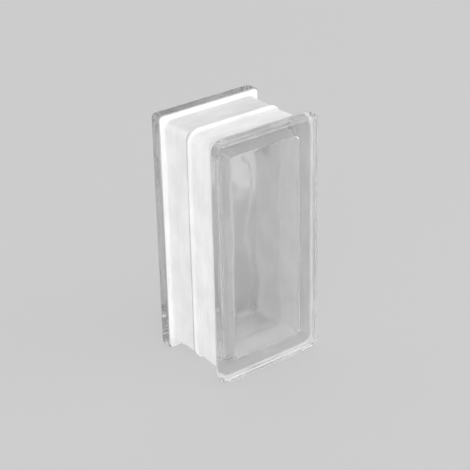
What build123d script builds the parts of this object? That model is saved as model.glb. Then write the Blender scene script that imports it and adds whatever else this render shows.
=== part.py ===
from build123d import *
import math
import os

# Hollow half-size glass block standing on its short end.
# X is the width, Y the depth with the front face at -Y, Z the height.
# The origin is the middle of the footprint, on the floor.

# Overall size of the block
block_width = 90.0
block_height = 190.0
block_depth = 80.0

# Flanges around the two faces
flange_thickness = 10.4
flange_corner_radius = 4.0
face_edge_radius = 3.0
channel_edge_chamfer = 0.8

# Mortar channel between the flanges, deepest at the seam
channel_depth_at_flange = 4.5
channel_depth_at_seam = 5.5
channel_root_chamfer = 1.05
wall_corner_radius = 6.0

# Bead where the two pressed halves are fused, higher on the ends than on the sides
seam_bead_height_on_ends = 2.6
seam_bead_height_on_sides = 1.8
seam_bead_width = 5.0
seam_bead_chamfer = 1.6
seam_bead_corner_radius = 10.0

# Sealed cavity, which widens from the panes to the seam
pane_thickness = 10.0
cavity_inset_at_pane = 14.0
cavity_inset_at_seam = 10.0
cavity_corner_radius = 8.5

# Low ridge that the fused seam leaves inside the cavity
seam_ridge_height = 0.7
seam_ridge_width = 3.2

# Waves pressed into the inner side of each pane
wave_height = 1.2
wave_lengths = (88.0, 61.0, 47.0)
wave_angles = (84.0, 58.0, -62.0)
wave_height_shares = (0.5, 0.3, 0.2)
wave_phase_shares = (0.55, 0.10, 0.70)
wave_grid_spacing = 6.0
wave_surface_tolerance = 0.005

# White coating in the channel
coating_thickness = 0.4
coating_margin = 0.2

half_depth = block_depth / 2
wall_run = half_depth - flange_thickness
wall_slope = (channel_depth_at_seam - channel_depth_at_flange) / wall_run
cavity_run = half_depth - pane_thickness
cavity_slope = (cavity_inset_at_pane - cavity_inset_at_seam) / cavity_run
ridge_slope = 2 * seam_ridge_height / seam_ridge_width - cavity_slope

# How much a chamfer grows for each unit that the faces beside it move out
chamfer_growth_share = 2 - math.sqrt(2)

# The coating rounds the channel's root and is as thick over its middle as elsewhere.
cove_radius = channel_root_chamfer / chamfer_growth_share - coating_thickness


def outline(depth, side_inset, end_inset, corner_radius):
    """Rounded rectangle at a depth behind the outer face, set in from the block's sides and ends."""
    width = block_width - 2 * side_inset
    height = block_height - 2 * end_inset
    return Plane.XY.offset(depth) * RectangleRounded(width, height, corner_radius)


def tapered(sketch, run, slope):
    """A sketch extruded by a run, which narrows by a slope or widens by a negative one."""
    return extrude(sketch, run, taper=math.degrees(math.atan(slope)))


def root_edges(solid, depth):
    """Edges where the wall stands on the flange face that lies at the given depth."""
    flange_face = min(solid.faces().filter_by(Axis.Z), key=lambda face: abs(face.center().Z - depth))
    return flange_face.inner_wires()[0].edges()


def wall_and_bead(cover):
    """Tapered wall of one half with its share of the seam bead, grown by a cover."""
    inset = channel_depth_at_seam - cover
    wall_outline = outline(half_depth, inset, inset, wall_corner_radius + cover)
    wall = tapered(wall_outline, cover - wall_run, -wall_slope)
    bead_outline = outline(
        half_depth,
        inset - seam_bead_height_on_sides,
        inset - seam_bead_height_on_ends,
        seam_bead_corner_radius + cover,
    )
    bead = extrude(bead_outline, -(seam_bead_width / 2 + cover))
    bead_chamfer = seam_bead_chamfer + cover * chamfer_growth_share
    return wall + chamfer(bead.edges().group_by(Axis.Z)[0], bead_chamfer)


def glass_outside():
    """Outer form of one half: flange, tapered wall and half of the seam bead."""
    flange = extrude(outline(0, 0, 0, flange_corner_radius), flange_thickness)
    flange = fillet(flange.edges().group_by(Axis.Z)[0], face_edge_radius)
    flange = chamfer(flange.edges().group_by(Axis.Z)[-1], channel_edge_chamfer)
    body = flange + wall_and_bead(0)
    return chamfer(root_edges(body, flange_thickness), channel_root_chamfer)


def coated_outside():
    """The same form with the coating's thickness laid on the channel side."""
    border = channel_edge_chamfer + coating_margin
    coated_thickness = flange_thickness + coating_thickness
    slab = extrude(
        outline(flange_thickness / 2, border, border, flange_corner_radius - border),
        coated_thickness - flange_thickness / 2,
    )
    body = slab + wall_and_bead(coating_thickness)
    return fillet(root_edges(body, coated_thickness), cove_radius)


def wave(across, along):
    """Height of the waves at a place on the pane, positive into the cavity."""
    height = 0
    trains = zip(wave_lengths, wave_angles, wave_height_shares, wave_phase_shares)
    for length, angle, height_share, phase_share in trains:
        way = across * math.cos(math.radians(angle)) + along * math.sin(math.radians(angle))
        height += wave_height * height_share * math.sin(2 * math.pi * (way / length + phase_share))
    return height


def wavy_floor():
    """Smooth wavy sheet a little larger than the cavity's floor."""
    half_width = block_width / 2 - cavity_inset_at_seam
    half_height = block_height / 2 - cavity_inset_at_seam
    columns = math.ceil(2 * half_width / wave_grid_spacing)
    rows = math.ceil(2 * half_height / wave_grid_spacing)
    points = []
    for i in range(columns + 1):
        across = half_width * (2 * i / columns - 1)
        line = []
        for j in range(rows + 1):
            along = half_height * (2 * j / rows - 1)
            line.append(Vector(across, along, pane_thickness + wave(across, along)))
        points.append(line)
    return Face.make_surface_from_array_of_points(points, tol=wave_surface_tolerance, max_deg=3)


def cavity():
    """Hollow of one half, from its mouth at the seam's ridge to the wavy inner side of the pane."""
    reach = cavity_run + 2 * wave_height
    inset = cavity_inset_at_seam
    pocket = tapered(outline(half_depth, inset, inset, cavity_corner_radius), -reach, cavity_slope)
    mouth_inset = inset + seam_ridge_height
    mouth_radius = cavity_corner_radius - seam_ridge_height
    mouth = tapered(outline(half_depth, mouth_inset, mouth_inset, mouth_radius), -reach, -ridge_slope)
    return pocket & mouth & extrude(wavy_floor(), half_depth, dir=(0, 0, 1))


glass_form = glass_outside()
glass_half = glass_form - cavity()
coating_half = coated_outside() - glass_form

front_place = Plane((0, -half_depth, block_height / 2), x_dir=(-1, 0, 0), z_dir=(0, 1, 0)).location
rear_place = Plane((0, half_depth, block_height / 2), x_dir=(1, 0, 0), z_dir=(0, -1, 0)).location

front_half = front_place * glass_half
rear_half = rear_place * glass_half
edge_coating = front_place * coating_half + rear_place * coating_half

os.makedirs("parts", exist_ok=True)
export_step(front_half, "parts/front_half.step")
export_step(rear_half, "parts/rear_half.step")
export_step(edge_coating, "parts/edge_coating.step")
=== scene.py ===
import math

import bmesh
import bpy
from mathutils import Matrix, Vector


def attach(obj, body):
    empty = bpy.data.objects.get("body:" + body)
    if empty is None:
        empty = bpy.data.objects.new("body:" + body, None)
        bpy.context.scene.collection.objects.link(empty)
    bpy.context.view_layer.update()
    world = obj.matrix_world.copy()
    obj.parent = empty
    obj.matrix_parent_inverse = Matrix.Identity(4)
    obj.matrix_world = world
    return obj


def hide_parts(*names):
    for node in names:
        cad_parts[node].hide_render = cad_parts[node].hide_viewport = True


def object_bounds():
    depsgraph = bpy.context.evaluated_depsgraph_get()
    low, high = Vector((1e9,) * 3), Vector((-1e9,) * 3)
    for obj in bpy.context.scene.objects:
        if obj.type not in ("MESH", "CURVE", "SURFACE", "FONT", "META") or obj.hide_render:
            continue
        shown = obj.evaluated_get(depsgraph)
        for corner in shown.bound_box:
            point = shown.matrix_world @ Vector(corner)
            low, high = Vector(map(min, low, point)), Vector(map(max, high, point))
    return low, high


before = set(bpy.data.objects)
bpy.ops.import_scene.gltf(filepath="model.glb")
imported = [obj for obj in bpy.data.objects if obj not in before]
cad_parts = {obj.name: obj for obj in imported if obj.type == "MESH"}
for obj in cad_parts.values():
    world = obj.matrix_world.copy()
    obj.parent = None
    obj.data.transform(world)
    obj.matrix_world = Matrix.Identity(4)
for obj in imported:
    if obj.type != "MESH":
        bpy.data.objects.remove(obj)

cad_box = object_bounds()

# Metres in a millimetre. Sizes are in millimetres where nothing else is said, and angles in degrees.
MM = 0.001

# Overall size of the block, from the frame, rounded to a micrometre
SIZE_DIGITS = 3
overall = [round((high - low) / MM, SIZE_DIGITS) for low, high in zip(*cad_box)]
BLOCK_WIDTH, BLOCK_DEPTH, BLOCK_HEIGHT = overall
HALF_DEPTH = BLOCK_DEPTH / 2

# Sizes of its form, as in the solids, with rounds and swells in place of their chamfers
FLANGE_THICKNESS = 10.4
FLANGE_CORNER_RADIUS = 4.0
FACE_EDGE_RADIUS = 3.0
CHANNEL_EDGE_RADIUS = 0.8
CHANNEL_DEPTH_AT_FLANGE, CHANNEL_DEPTH_AT_SEAM = 4.5, 5.5
ROOT_RADIUS = 1.8
WALL_CORNER_RADIUS = 6.0
BEAD_HEIGHT_ON_ENDS, BEAD_HEIGHT_ON_SIDES = 2.6, 1.8
BEAD_HALF_WIDTH = 2.8
BEAD_CORNER_RADIUS = 10.0
PANE_THICKNESS = 10.0
CAVITY_INSET_AT_PANE, CAVITY_INSET_AT_SEAM = 14.0, 10.0
CAVITY_DRAFT = (CAVITY_INSET_AT_PANE - CAVITY_INSET_AT_SEAM) / (HALF_DEPTH - PANE_THICKNESS)
CAVITY_CORNER_RADIUS = 8.5
CAVITY_FLOOR_RADIUS = 2.0
SEAM_RIDGE_HEIGHT, SEAM_RIDGE_HALF_WIDTH = 0.7, 1.6

# The coat in the channel, whose back lies a little way inside the glass so that no gap shows
COATING_THICKNESS, COATING_MARGIN = 0.4, 0.2
COATING_SINK = 0.04

# Waves pressed into the inner side of each pane
WAVE_HEIGHT = 1.2
WAVE_HEIGHT_SHARES = (0.5, 0.3, 0.2)
WAVE_HEIGHTS = [WAVE_HEIGHT * share for share in WAVE_HEIGHT_SHARES]
WAVE_LENGTHS = (88.0, 61.0, 47.0)
WAVE_ANGLES = (84.0, 58.0, -62.0)
WAVE_PHASE_SHARES = (0.55, 0.10, 0.70)

# Fine ripples left by the press, too low for the solids
RIPPLE_HEIGHTS = (0.07, 0.05)
RIPPLE_LENGTHS = (24.0, 17.0)
RIPPLE_ANGLES = (25.0, -68.0)
RIPPLE_PHASE_SHARES = (0.30, 0.60)
TRAINS = (
    *zip(WAVE_HEIGHTS, WAVE_LENGTHS, WAVE_ANGLES, WAVE_PHASE_SHARES),
    *zip(RIPPLE_HEIGHTS, RIPPLE_LENGTHS, RIPPLE_ANGLES, RIPPLE_PHASE_SHARES),
)

# Fineness of the meshes. Loops have steps of a corner, an end and a side.
OUTER_STEPS = (12, 6, 10)
INNER_STEPS = (10, 40, 110)
FLOOR_RINGS = 44
ARC_STEPS = 8
BEAD_STEPS = 14
WALL_STEPS = 6
RIDGE_STEPS = 8

# Points nearer than this are welded, in metres
WELD_DISTANCE = 1e-7

# The front half and the rear half
SIDES = (-1, 1)

# Glass. A noise has its stretch in each direction and its detail.
GLASS_IOR = 1.52
GLASS_TINT, GLASS_DENSITY = (0.805, 0.805, 0.805, 1), 11.0
GLASS_NOISE, GLASS_ROUGHNESS = ((40, 40, 25), 4), (0.05, 0.13)

# Part of a noise's range that is spread over a range of tones or roughness
NOISE_LOW, NOISE_HIGH = 0.3, 0.7

# Coat: how far light spreads in it in metres, its brush strokes and its patches
COATING_SCATTER = 0.0016
COATING_ROUGHNESS = (0.5, 0.7)
STROKE_NOISE, STROKE_TONES = ((60, 260, 30), 5), (0.92, 1.0)
STROKE_BUMP, STROKE_DEPTH = 0.3, 0.0002
PATCH_NOISE, PATCH_TONES = ((30, 45, 35), 3), (0.82, 0.97)

# Tones of the coat, and shade and a glint painted into it, as (from, to, share), counted backwards
# from the seam
REAR_WALL_TONE = (4.0, 27.6, 0.97)
# Shade painted into the coat in the groove at the rear foot of the seam bead, on the left side below
# the top
GROOVE_PAINTED_SHADE = (1.2, 4.6, 0.67)
TOP_TONE = (2.0, 27.6, 0.83)
# A glint painted into the coat along the seam on the right wall, brighter than the coat's own white
SEAM_PAINTED_GLINT = (-2.0, 1.4, 1.15)
BAND_SOFTNESS = 1.0

# Where the coat is thicker and the share of light that spreads through it is less, in the same way
BEAD_THICK = (-2.8, 1.2, 0.62)
FLANGE_THICK = (27.6, 31.0, 0.6)
UPPER_THICK = (12.0, 31.0, 0.3)

# Limits of the same tones and thick places up the height and across the width
TOP_START, TOP_SOFTNESS = 185.2, 2.2
UPPER_START, UPPER_SOFTNESS = 138.0, 14.0
RIGHT_WALL, RIGHT_SOFTNESS = 38.0, 2.0
LEFT_SOFTNESS = BLOCK_WIDTH / 4

# Floor: how much it reflects and glows, its size and how far below the block it lies, in metres
FLOOR_ALBEDO, FLOOR_GLOW = 0.12, 0.48
FLOOR_ROUGHNESS = 0.9
FLOOR_SIZE, FLOOR_DROP = 12.0, 0.0002

# The block's soft shadow painted into the floor's glow, darker at its core, and a pool of light
# painted beyond it
SHADOW_AZIMUTH = -37.0
SHADOW_LENGTH, SHADOW_SHARE = 212.0, 0.68
SHADOW_SOFTNESS, SHADOW_SIDE_SOFTNESS = 8.0, 45.0
SHADOW_CORE, CORE_SHARE = 90.0, 0.7
POOL_LENGTH, POOL_SOFTNESS, POOL_SHARE = 85.0, 40.0, 1.16

# Studio: soft panels as (name, azimuth, elevation, size, radiance), in metres, with azimuth 0 in front
WORLD_RADIANCE = 0.6
PANEL_DISTANCE = 3.0
LOW, LOW_PANEL = 13, (2.3, 1.2)
HIGH, HIGH_PANEL = 38, (2.0, 1.3)
SOFT_PANELS = (
    ("left_low", -90, LOW, LOW_PANEL, 1.6),
    ("front_left_low", -45, LOW, LOW_PANEL, 3.65),
    ("front_low", 0, LOW, LOW_PANEL, 2.7),
    ("front_right_low", 45, LOW, LOW_PANEL, 3.0),
    ("right_low", 90, LOW, LOW_PANEL, 0.9),
    ("front_left_high", -45, HIGH, HIGH_PANEL, 1.3),
    ("front_high", 0, HIGH, HIGH_PANEL, 0.6),
    ("front_right_high", 45, HIGH, HIGH_PANEL, 1.4),
    ("back_right_high", 135, HIGH, HIGH_PANEL, 1.1),
    ("back_high", 180, HIGH, HIGH_PANEL, 0.4),
    ("back_left_high", 225, HIGH, HIGH_PANEL, 0.5),
)

# Light that the pale table throws up under the block, as (name, place, depth, radiance), in metres
TABLE_WIDTH = 0.084
TABLE_PANELS = (
    ("table_channel", -0.007, 0.034, 0.5),
    ("table_front_edge", -0.0287, 0.0014, 0.6),
)

# The photograph's camera, on its 470 pixel frame, and the middle of the block there
FRAME_PIXELS = 470.0
SENSOR_WIDTH = 36.0
FOCAL_PIXELS = 1437.0
CAMERA_AZIMUTH, CAMERA_ELEVATION, CAMERA_ROLL = -37.32, 26.75, 1.32
CAMERA_DISTANCE = 1055.4
CENTRE_PIXEL = (237.16, 233.43)

# How many times light is followed from surface to surface
BOUNCES = 32


# Shapes


def rounded_loop(end_inset, side_inset, radius, steps):
    """Points of a rounded rectangle inside the block's outline, with their outward directions."""
    corner_steps, short_steps, long_steps = steps
    half_width, half_height = BLOCK_WIDTH / 2 - side_inset, BLOCK_HEIGHT / 2 - end_inset
    corners = ((1, 1, 0), (-1, 1, 90), (-1, -1, 180), (1, -1, 270))
    centres = [(x * (half_width - radius), y * (half_height - radius)) for x, y, _ in corners]
    points = []
    for k, (_, _, start) in enumerate(corners):
        for i in range(corner_steps + 1):
            t = math.radians(start + 90 * i / corner_steps)
            n = (math.cos(t), math.sin(t))
            points.append((centres[k][0] + radius * n[0], centres[k][1] + radius * n[1], *n))
        far = centres[(k + 1) % len(corners)]
        along = short_steps if k % 2 == 0 else long_steps
        for i in range(1, along):
            f = i / along
            x = centres[k][0] + (far[0] - centres[k][0]) * f
            y = centres[k][1] + (far[1] - centres[k][1]) * f
            points.append((x + radius * n[0], y + radius * n[1], *n))
    return points


def arc(centre, radius, start, end):
    """Points of a circular arc in a section and their directions, angles in degrees."""
    for i in range(ARC_STEPS + 1):
        t = math.radians(start + (end - start) * i / ARC_STEPS)
        c, s = math.cos(t), math.sin(t)
        yield centre[0] + radius * c, centre[1] + radius * s, c, s


def swell(t):
    """A smooth hump that is 1 at 0 and 0 at 1, and how steeply it falls."""
    return 0.5 + 0.5 * math.cos(math.pi * t), 0.5 * math.pi * math.sin(math.pi * t)


def ring(inset, depth, n_out, n_depth, radius):
    """One loop of the outside at an inset and a depth, with the section's direction."""
    loop = rounded_loop(inset, inset, radius, OUTER_STEPS)
    return [((u, v, depth), (nu * n_out, nv * n_out, n_depth)) for u, v, nu, nv in loop]


def wall_inset(depth):
    """Depth of the channel at a distance behind the outer face."""
    share = (depth - FLANGE_THICKNESS) / (HALF_DEPTH - FLANGE_THICKNESS)
    return CHANNEL_DEPTH_AT_FLANGE + (CHANNEL_DEPTH_AT_SEAM - CHANNEL_DEPTH_AT_FLANGE) * share


def flange_rings():
    """Outside of a flange, from the flat face to the channel."""
    r, e = FACE_EDGE_RADIUS, CHANNEL_EDGE_RADIUS
    rings = []
    for inset, depth, c, s in arc((r, r), r, 270, 180):
        rings.append(ring(inset, depth, -c, s, FLANGE_CORNER_RADIUS - inset))
    for inset, depth, c, s in arc((e, FLANGE_THICKNESS - e), e, 180, 90):
        rings.append(ring(inset, depth, -c, s, FLANGE_CORNER_RADIUS - inset))
    return rings


def root_rings(cover):
    """The round between a flange and the channel's wall, raised by a cover."""
    root, plane = ROOT_RADIUS - cover, FLANGE_THICKNESS + cover
    floor = wall_inset(plane + root) - cover
    rings = []
    for inset, depth, c, s in arc((floor - root, plane + root), root, 270, 360):
        rings.append(ring(inset, depth, c, -s, WALL_CORNER_RADIUS + floor + cover - inset))
    return rings


def bead_rings(cover):
    """Half of the seam bead, from its foot on the wall to its crest, raised by a cover."""
    rings = []
    for i in range(BEAD_STEPS + 1):
        t = 1 - i / BEAD_STEPS
        depth = HALF_DEPTH - BEAD_HALF_WIDTH * t
        share, fall = swell(t)
        inset = wall_inset(depth) - cover
        foot = rounded_loop(inset, inset, WALL_CORNER_RADIUS + cover, OUTER_STEPS)
        ends, sides = inset - BEAD_HEIGHT_ON_ENDS, inset - BEAD_HEIGHT_ON_SIDES
        crest = rounded_loop(ends, sides, BEAD_CORNER_RADIUS + cover, OUTER_STEPS)
        made = []
        for (u, v, nu, nv), (cu, cv, _, _) in zip(foot, crest):
            height = (cu - u) * nu + (cv - v) * nv
            place = (u + (cu - u) * share, v + (cv - v) * share, depth)
            made.append((place, (nu, nv, -height * fall / BEAD_HALF_WIDTH)))
        rings.append(made)
    return rings


def channel_rings(cover):
    """The channel from the flange's root to the seam, raised by a cover."""
    return root_rings(cover) + bead_rings(cover)


def wave(across, along):
    """Height of the waves and its two slopes at a place on a pane."""
    height = slope_across = slope_along = 0.0
    for crest, length, angle, phase in TRAINS:
        c, s = math.cos(math.radians(angle)), math.sin(math.radians(angle))
        pitch = 2 * math.pi / length
        turn = pitch * (across * c + along * s) + 2 * math.pi * phase
        height += crest * math.sin(turn)
        slope_across += crest * pitch * c * math.cos(turn)
        slope_along += crest * pitch * s * math.cos(turn)
    return height, slope_across, slope_along


def cavity_loop(inset):
    """A loop of the hollow at an inset. The centres of its corners stay in place."""
    radius = CAVITY_INSET_AT_SEAM + CAVITY_CORNER_RADIUS - inset
    return rounded_loop(inset, inset, radius, INNER_STEPS)


def ridge_rings(mouth):
    """Half of the seam's ridge inside, from its crest to its foot on the wall."""
    rings = []
    for i in range(RIDGE_STEPS):
        t = i / RIDGE_STEPS
        depth = HALF_DEPTH - SEAM_RIDGE_HALF_WIDTH * t
        share, fall = swell(t)
        lean = CAVITY_DRAFT - SEAM_RIDGE_HEIGHT * fall / SEAM_RIDGE_HALF_WIDTH
        shift = CAVITY_DRAFT * SEAM_RIDGE_HALF_WIDTH * t + SEAM_RIDGE_HEIGHT * share
        made = []
        for u, v, nu, nv in mouth:
            made.append(((u - nu * shift, v - nv * shift, depth), (-nu, -nv, lean)))
        rings.append(made)
    return rings


def wall_rings(mouth, waves):
    """The hollow's wall with its draft, from the ridge to the round at the wavy floor."""
    top = HALF_DEPTH - SEAM_RIDGE_HALF_WIDTH
    rings = []
    for i in range(WALL_STEPS + 1):
        made = []
        for (u, v, nu, nv), (height, _, _) in zip(mouth, waves):
            depth = top + (PANE_THICKNESS + height + CAVITY_FLOOR_RADIUS - top) * i / WALL_STEPS
            shift = CAVITY_DRAFT * (HALF_DEPTH - depth)
            made.append(((u - nu * shift, v - nv * shift, depth), (-nu, -nv, CAVITY_DRAFT)))
        rings.append(made)
    return rings


def round_rings(wall_foot, waves, side):
    """The round from the foot of the hollow's wall to the wavy floor."""
    r = CAVITY_FLOOR_RADIUS
    rings = []
    for i in range(1, ARC_STEPS + 1):
        t = math.radians(90 * i / ARC_STEPS)
        c, s = math.cos(t), math.sin(t)
        made = []
        for (p, n), (_, across, along) in zip(wall_foot, waves):
            floor = Vector((-side * across, -along, 1)).normalized()
            wall = Vector((n[0], n[1], 0))
            place = Vector(p) + wall * r * (1 - c) - Vector((0, 0, r * s))
            made.append((tuple(place), tuple((wall * c + floor * s).normalized())))
        rings.append(made)
    return rings


def floor_rings(edge, side):
    """The wavy floor, from its edge to its middle line."""
    spine = (BLOCK_HEIGHT - BLOCK_WIDTH) / 2
    rings = []
    for i in range(1, FLOOR_RINGS + 1):
        f = 1 - i / FLOOR_RINGS
        made = []
        for (u, v, _), _ in edge:
            middle = max(-spine, min(spine, v))
            x, y = u * f, middle + (v - middle) * f
            height, across, along = wave(side * x, y)
            made.append(((x, y, PANE_THICKNESS + height), (-side * across, -along, 1)))
        rings.append(made)
    return rings


def cavity_rings(side):
    """The hollow of a half, from the seam to the middle of its wavy floor."""
    mouth = cavity_loop(CAVITY_INSET_AT_SEAM)
    foot = cavity_loop(CAVITY_INSET_AT_PANE + CAVITY_FLOOR_RADIUS)
    waves = [wave(side * u, v) for u, v, _, _ in foot]
    walls = ridge_rings(mouth) + wall_rings(mouth, waves)
    rounds = round_rings(walls[-1], waves, side)
    return walls + rounds + floor_rings(rounds[-1], side)


class Mesh:
    """Collects rings of points and their directions, for the front and the rear half."""

    def __init__(self):
        self.points, self.normals, self.faces = [], [], []

    def add(self, rings, side, inward=False, cap=False):
        """Joins rings to a skin. side is -1 for the front half and 1 for the rear half."""
        base, count = len(self.points), len(rings[0])
        for made in rings:
            for (u, v, depth), (nu, nv, nd) in made:
                y = side * (HALF_DEPTH - depth)
                self.points.append(Vector((u, y, v + BLOCK_HEIGHT / 2)) * MM)
                self.normals.append(Vector((nu, -side * nd, nv)).normalized())
        flip = (side > 0) == inward
        for j in range(len(rings) - 1):
            for i in range(count):
                a, b = base + j * count + i, base + j * count + (i + 1) % count
                face = (a, a + count, b + count, b)
                self.faces.append(face if flip else face[::-1])
        if cap:
            face = tuple(range(base, base + count))
            self.faces.append(face if side < 0 else face[::-1])

    def piece(self, name, material):
        """Welds the skins to one mesh object that shades with the collected directions."""
        mesh = bpy.data.meshes.new(name)
        mesh.from_pydata(self.points, [], self.faces)
        kept = mesh.attributes.new("direction", "FLOAT_VECTOR", "POINT")
        for item, normal in zip(kept.data, self.normals):
            item.vector = normal
        work = bmesh.new()
        work.from_mesh(mesh)
        bmesh.ops.remove_doubles(work, verts=work.verts, dist=WELD_DISTANCE)
        work.to_mesh(mesh)
        work.free()
        for polygon in mesh.polygons:
            polygon.use_smooth = True
        normals = [tuple(item.vector) for item in mesh.attributes["direction"].data]
        mesh.attributes.remove(mesh.attributes["direction"])
        mesh.normals_split_custom_set_from_vertices(normals)
        mesh.materials.append(material)
        obj = bpy.data.objects.new(name, mesh)
        bpy.context.scene.collection.objects.link(obj)
        return obj


# Materials


def new_material(name):
    """A material with its node tree and its shader."""
    material = bpy.data.materials.new(name)
    material.use_nodes = True
    tree = material.node_tree
    return material, tree, tree.nodes["Principled BSDF"]


def noise(tree, stretch, detail):
    """A procedural noise on the piece's own coordinates, with a stretch in each direction."""
    coords = tree.nodes.new("ShaderNodeTexCoord")
    mapping = tree.nodes.new("ShaderNodeMapping")
    mapping.inputs["Scale"].default_value = stretch
    texture = tree.nodes.new("ShaderNodeTexNoise")
    texture.inputs["Scale"].default_value = 1.0
    texture.inputs["Detail"].default_value = detail
    tree.links.new(coords.outputs["Object"], mapping.inputs["Vector"])
    tree.links.new(mapping.outputs["Vector"], texture.inputs["Vector"])
    return texture.outputs["Fac"]


def spread(tree, value, low, high):
    """A value that runs from low to high over the middle of a noise."""
    ramp = tree.nodes.new("ShaderNodeMapRange")
    ramp.inputs["From Min"].default_value = NOISE_LOW
    ramp.inputs["From Max"].default_value = NOISE_HIGH
    ramp.inputs["To Min"].default_value = low
    ramp.inputs["To Max"].default_value = high
    tree.links.new(value, ramp.inputs["Value"])
    return ramp.outputs["Result"]


def inside(tree, place, direction, edge, softness):
    """1 short of a plane that faces a direction, 0 past it, soft between. Sizes in millimetres."""
    along = tree.nodes.new("ShaderNodeVectorMath")
    along.operation = "DOT_PRODUCT"
    along.inputs[1].default_value = direction
    tree.links.new(place, along.inputs[0])
    step = tree.nodes.new("ShaderNodeMapRange")
    step.interpolation_type = "SMOOTHSTEP"
    step.inputs["From Min"].default_value = (edge - softness) * MM
    step.inputs["From Max"].default_value = edge * MM
    step.inputs["To Min"].default_value = 1.0
    step.inputs["To Max"].default_value = 0.0
    tree.links.new(along.outputs["Value"], step.inputs["Value"])
    return step.outputs["Result"]


def product(tree, values):
    """All the values multiplied together."""
    result = values[0]
    for value in values[1:]:
        node = tree.nodes.new("ShaderNodeMath")
        node.operation = "MULTIPLY"
        tree.links.new(result, node.inputs[0])
        tree.links.new(value, node.inputs[1])
        result = node.outputs["Value"]
    return result


def scaled(tree, mask, share):
    """1 outside a mask and a share inside it."""
    node = tree.nodes.new("ShaderNodeMapRange")
    node.inputs["To Min"].default_value = 1.0
    node.inputs["To Max"].default_value = share
    tree.links.new(mask, node.inputs["Value"])
    return node.outputs["Result"]


def glass_material():
    """Clear glass that takes up a little light on its way and blurs a little, unevenly."""
    material, tree, shader = new_material("clear_glass")
    shader.inputs["Base Color"].default_value = (1, 1, 1, 1)
    shader.inputs["Transmission Weight"].default_value = 1.0
    shader.inputs["IOR"].default_value = GLASS_IOR
    roughness = spread(tree, noise(tree, *GLASS_NOISE), *GLASS_ROUGHNESS)
    tree.links.new(roughness, shader.inputs["Roughness"])
    depth = tree.nodes.new("ShaderNodeVolumeAbsorption")
    depth.inputs["Color"].default_value = GLASS_TINT
    depth.inputs["Density"].default_value = GLASS_DENSITY
    tree.links.new(depth.outputs["Volume"], tree.nodes["Material Output"].inputs["Volume"])
    return material


def coating_material():
    """Matte white coat with brush strokes, which lets light through to the inside, with shade painted
    in the groove behind the seam bead and a glint painted along the seam on the right wall.
    """
    material, tree, shader = new_material("white_coating")
    shader.inputs["Subsurface Radius"].default_value = (1, 1, 1)
    shader.inputs["Subsurface Scale"].default_value = COATING_SCATTER
    strokes = noise(tree, *STROKE_NOISE)
    patches = noise(tree, *PATCH_NOISE)
    place = tree.nodes.new("ShaderNodeTexCoord").outputs["Object"]

    def band(limits, *others):
        """A share between two depths, where all the other masks hold too, and 1 elsewhere."""
        start, end, share = limits
        before = inside(tree, place, (0, 1, 0), end, BAND_SOFTNESS)
        after = inside(tree, place, (0, -1, 0), -start, BAND_SOFTNESS)
        return scaled(tree, product(tree, [before, after, *others]), share)

    below_top = inside(tree, place, (0, 0, 1), TOP_START, TOP_SOFTNESS)
    on_top = inside(tree, place, (0, 0, -1), TOP_SOFTNESS - TOP_START, TOP_SOFTNESS)
    left = inside(tree, place, (1, 0, 0), 0, LEFT_SOFTNESS)
    not_right = inside(tree, place, (1, 0, 0), RIGHT_WALL, RIGHT_SOFTNESS)
    right = inside(tree, place, (-1, 0, 0), RIGHT_SOFTNESS - RIGHT_WALL, RIGHT_SOFTNESS)
    upper = inside(tree, place, (0, 0, -1), -UPPER_START, UPPER_SOFTNESS)
    tones_and_painted_light = [
        spread(tree, strokes, *STROKE_TONES),
        spread(tree, patches, *PATCH_TONES),
        band(REAR_WALL_TONE),
        # Painted shade in the groove behind the seam bead
        band(GROOVE_PAINTED_SHADE, below_top, left),
        band(TOP_TONE, on_top),
        # Painted glint along the seam on the right wall
        band(SEAM_PAINTED_GLINT, right),
    ]
    tree.links.new(product(tree, tones_and_painted_light), shader.inputs["Base Color"])
    thin = [band(BEAD_THICK, not_right), band(FLANGE_THICK), band(UPPER_THICK, right, upper)]
    tree.links.new(product(tree, thin), shader.inputs["Subsurface Weight"])
    tree.links.new(spread(tree, patches, *COATING_ROUGHNESS), shader.inputs["Roughness"])
    bump = tree.nodes.new("ShaderNodeBump")
    bump.inputs["Strength"].default_value = STROKE_BUMP
    bump.inputs["Distance"].default_value = STROKE_DEPTH
    tree.links.new(strokes, bump.inputs["Height"])
    tree.links.new(bump.outputs["Normal"], shader.inputs["Normal"])
    return material


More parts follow.
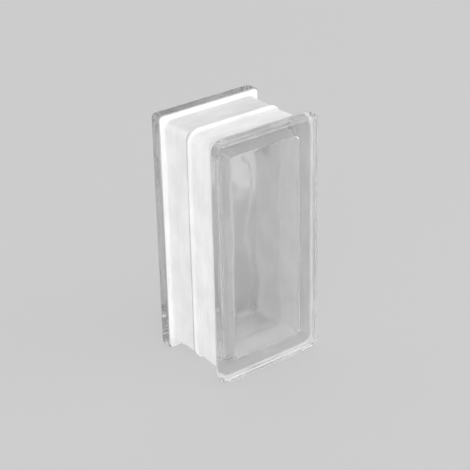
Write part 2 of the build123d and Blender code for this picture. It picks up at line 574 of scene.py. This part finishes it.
def floor_material():
    """Pale floor with an even glow, less where the block's shadow is painted in and more where a pool
    of light is painted beyond it.
    """
    material, tree, shader = new_material("pale_floor")
    shader.inputs["Base Color"].default_value = (FLOOR_ALBEDO, FLOOR_ALBEDO, FLOOR_ALBEDO, 1)
    shader.inputs["Emission Color"].default_value = (1, 1, 1, 1)
    shader.inputs["Roughness"].default_value = FLOOR_ROUGHNESS
    shader.inputs["Specular IOR Level"].default_value = 0.0
    place = tree.nodes.new("ShaderNodeTexCoord").outputs["Object"]
    turn = math.radians(SHADOW_AZIMUTH)
    c, s = math.cos(turn), math.sin(turn)
    half_width = BLOCK_WIDTH / 2 * c - HALF_DEPTH * s
    far = HALF_DEPTH + SHADOW_LENGTH
    right = BLOCK_WIDTH / 2 - SHADOW_LENGTH * s / c
    flanks = [
        inside(tree, place, (c, s, 0), half_width, SHADOW_SIDE_SOFTNESS),
        inside(tree, place, (-c, -s, 0), half_width, SHADOW_SIDE_SOFTNESS),
    ]
    shadow = product(tree, [
        *flanks,
        inside(tree, place, (0, 1, 0), far, SHADOW_SOFTNESS),
        inside(tree, place, (1, 0, 0), right, SHADOW_SOFTNESS),
        inside(tree, place, (0, -1, 0), SHADOW_SOFTNESS - HALF_DEPTH, SHADOW_SOFTNESS),
    ])
    near = inside(tree, place, (0, 1, 0), HALF_DEPTH + SHADOW_CORE, SHADOW_CORE)
    core = product(tree, [shadow, near])
    pool = product(tree, [
        *flanks,
        inside(tree, place, (0, -1, 0), SHADOW_SOFTNESS - far, SHADOW_SOFTNESS),
        inside(tree, place, (0, 1, 0), far + POOL_LENGTH, POOL_SOFTNESS),
    ])
    # The painted shadow, its darker painted core and the painted pool of light, as shares of the
    # floor's glow
    shares = (shadow, SHADOW_SHARE), (core, CORE_SHARE), (pool, POOL_SHARE)
    glow = product(tree, [scaled(tree, mask, share) for mask, share in shares])
    strength = tree.nodes.new("ShaderNodeMath")
    strength.operation = "MULTIPLY"
    strength.inputs[1].default_value = FLOOR_GLOW
    tree.links.new(glow, strength.inputs[0])
    tree.links.new(strength.outputs["Value"], shader.inputs["Emission Strength"])
    return material


# Pieces


def glass_body():
    """The two fused halves of glass with their sealed hollow."""
    glass = Mesh()
    for side in SIDES:
        glass.add(flange_rings() + channel_rings(0.0), side, cap=True)
        glass.add(cavity_rings(side), side)
    return glass.piece("glass_body", glass_material())


def coating_film():
    """The coat in the channel: its rounded rim, its outer skin and its back."""
    border = CHANNEL_EDGE_RADIUS + COATING_MARGIN
    rim = FLANGE_CORNER_RADIUS - border
    lip = COATING_THICKNESS / 2
    top, sunk = FLANGE_THICKNESS + COATING_THICKNESS, FLANGE_THICKNESS - COATING_SINK
    film = Mesh()
    for side in SIDES:
        edge = [
            ring(border, sunk, 1, 0, rim),
            ring(border, top - lip, 1, 0, rim),
            ring(border + lip, top, 0, 1, rim - lip),
        ]
        film.add(edge + channel_rings(COATING_THICKNESS), side)
        back = [[(p, tuple(-x for x in n)) for p, n in made] for made in channel_rings(-COATING_SINK)]
        film.add([ring(border, sunk, 0, -1, rim)] + back, side, inward=True)
    return film.piece("edge_coating_film", coating_material())


body = glass_body()
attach(body, "root")
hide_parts("front_half", "rear_half")

coating = coating_film()
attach(coating, "root")
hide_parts("edge_coating")


# Floor, light and camera


def soft_panel(name, place, facing, size, radiance):
    """A flat soft light, as bright as said, which the camera doesn't see."""
    data = bpy.data.lights.new(name, "AREA")
    data.shape = "RECTANGLE"
    data.size, data.size_y = size
    data.energy = radiance * math.pi * size[0] * size[1]
    obj = bpy.data.objects.new(name, data)
    obj.location = place
    obj.rotation_mode = "QUATERNION"
    obj.rotation_quaternion = facing.to_track_quat("-Z", "Y")
    obj.visible_camera = False
    bpy.context.scene.collection.objects.link(obj)


def photo_camera():
    """The camera that the photograph's edges give."""
    a, e, roll = (math.radians(x) for x in (CAMERA_AZIMUTH, CAMERA_ELEVATION, CAMERA_ROLL))
    back = Vector((math.sin(a) * math.cos(e), -math.cos(a) * math.cos(e), math.sin(e)))
    right = Vector((math.cos(a), math.sin(a), 0))
    down = (-back).cross(right)
    c, s = math.cos(roll), math.sin(roll)
    image_x, image_y = c * right + s * down, -s * right + c * down
    offset = [(p - FRAME_PIXELS / 2) / FOCAL_PIXELS * CAMERA_DISTANCE for p in CENTRE_PIXEL]
    target = Vector((0, 0, BLOCK_HEIGHT / 2))
    position = target - image_x * offset[0] - image_y * offset[1] + back * CAMERA_DISTANCE
    data = bpy.data.cameras.new("photo_camera")
    data.sensor_width = SENSOR_WIDTH
    data.lens = SENSOR_WIDTH * FOCAL_PIXELS / FRAME_PIXELS
    camera = bpy.data.objects.new("photo_camera", data)
    turn = Matrix((image_x, -image_y, back)).transposed().to_4x4()
    turn.translation = position * MM
    camera.matrix_world = turn
    bpy.context.scene.collection.objects.link(camera)
    bpy.context.scene.camera = camera


bpy.ops.mesh.primitive_plane_add(size=FLOOR_SIZE, location=(0, 0, -FLOOR_DROP))
floor = bpy.context.object
floor.name = "floor"
floor.data.materials.append(floor_material())

world = bpy.data.worlds.new("studio")
bpy.context.scene.world = world
world.use_nodes = True
world.node_tree.nodes["Background"].inputs["Color"].default_value = (1, 1, 1, 1)
world.node_tree.nodes["Background"].inputs["Strength"].default_value = WORLD_RADIANCE

middle = Vector((0, 0, BLOCK_HEIGHT / 2 * MM))
for name, azimuth, elevation, size, radiance in SOFT_PANELS:
    a, e = math.radians(azimuth), math.radians(elevation)
    away = Vector((math.sin(a) * math.cos(e), -math.cos(a) * math.cos(e), math.sin(e)))
    soft_panel(name, middle + away * PANEL_DISTANCE, -away, size, radiance)
for name, place, depth, radiance in TABLE_PANELS:
    table = Vector((0, place, -FLOOR_DROP / 2))
    soft_panel(name, table, Vector((0, 0, 1)), (TABLE_WIDTH, depth), radiance)

photo_camera()
scene = bpy.context.scene
scene.view_settings.view_transform = "Standard"
scene.cycles.max_bounces = BOUNCES
scene.cycles.transmission_bounces = BOUNCES
scene.cycles.glossy_bounces = BOUNCES
